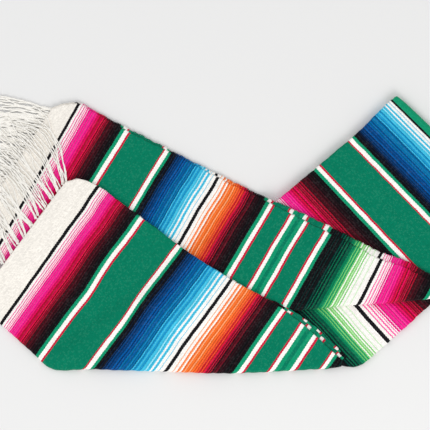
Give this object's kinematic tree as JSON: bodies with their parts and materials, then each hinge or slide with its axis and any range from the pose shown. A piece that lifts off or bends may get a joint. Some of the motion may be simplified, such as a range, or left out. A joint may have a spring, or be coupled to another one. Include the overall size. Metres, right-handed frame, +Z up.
{
  "type": "folded serape blanket",
  "caption": "Hand-woven mexican serape blanket with fringed ends, folded into a four-layer band and turned back on itself in a V, lying flat.",
  "frame": {"origin": "middle of the bounding box, at the underside that lies on the floor", "axes": "+X along the folded band's long side, away from the fringed ends; +Y across it in plan; +Z up out of the stack"},
  "size_m": [1.24, 0.554, 0.036],
  "materials": {
    "far_fringe": "matte hand-woven",
    "far_lower_run": "matte hand-woven",
    "far_upper_run": "matte hand-woven",
    "far_upper_selvage": "matte hand-woven",
    "hidden_layers": "matte hand-woven",
    "near_fringe": "matte hand-woven",
    "near_lower_run": "matte hand-woven",
    "near_upper_run": "matte hand-woven",
    "near_upper_selvage": "matte hand-woven"
  },
  "bodies": {
    "root": {"far_fringe": "far_fringe", "far_lower_run": "far_lower_run", "far_upper_run": "far_upper_run", "far_upper_selvage": "far_upper_selvage", "hidden_layers": "hidden_layers", "near_fringe": "near_fringe", "near_lower_run": "near_lower_run", "near_upper_run": "near_upper_run", "near_upper_selvage": "near_upper_selvage"}
  },
  "joints": []
}
